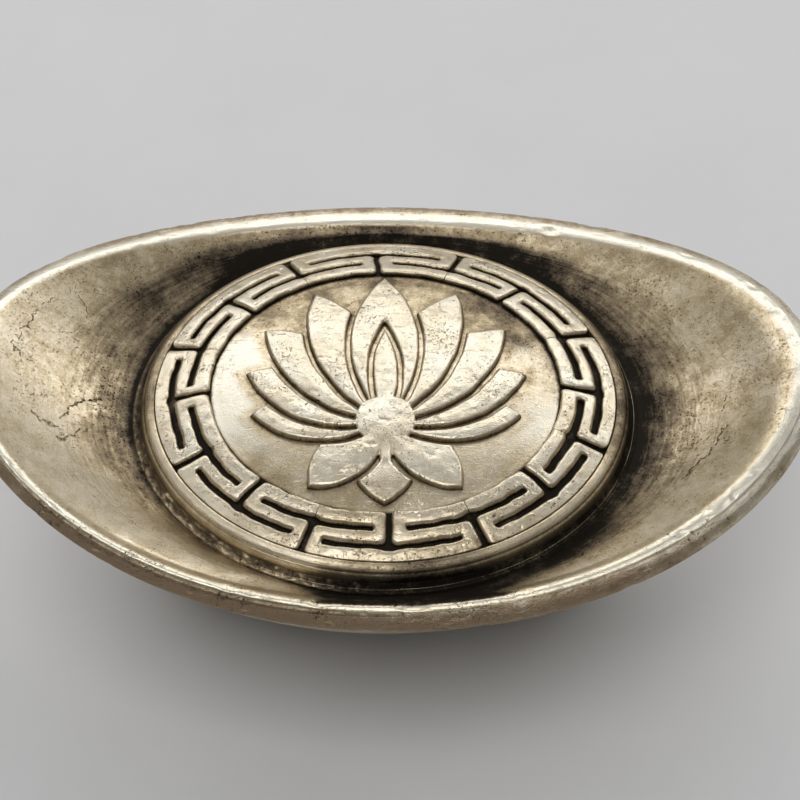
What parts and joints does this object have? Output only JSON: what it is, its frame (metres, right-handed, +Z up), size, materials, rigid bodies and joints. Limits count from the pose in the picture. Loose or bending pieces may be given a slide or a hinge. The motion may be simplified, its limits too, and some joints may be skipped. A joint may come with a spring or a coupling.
{
  "type": "sycee ingot",
  "caption": "Boat-shaped ornamental silver ingot with upswept ends, a lipped trough and a raised oval boss bordered by a fret.",
  "frame": {"origin": "centre of the foot's underside", "axes": "+X along the boat from its left wing to its right wing, +Y to the rear, +Z up from the foot"},
  "size_m": [0.085, 0.055, 0.0315],
  "materials": {
    "hull_silver": "tarnished silvered copper alloy",
    "rim_brown": "brown worn edge with nicks",
    "trough_silver": "satin silver with dark patina round the boss",
    "boss_silver": "satin silver, pitted, dark in the corners",
    "solder": "dark granular solder",
    "relief_silver": "worn bright silver with rounded edges"
  },
  "bodies": {
    "root": {"hull_wall": "hull_silver", "foot_plate": "hull_silver", "rim_wire": "rim_brown", "trough_pan": "trough_silver", "boss_cap": "boss_silver", "boss_solder": "solder", "lotus_ornament": "relief_silver", "fret_link_1": "relief_silver", "fret_link_2": "relief_silver", "fret_link_3": "relief_silver", "fret_link_4": "relief_silver", "fret_link_5": "relief_silver", "fret_link_6": "relief_silver", "fret_link_7": "relief_silver", "fret_link_8": "relief_silver"}
  },
  "joints": []
}
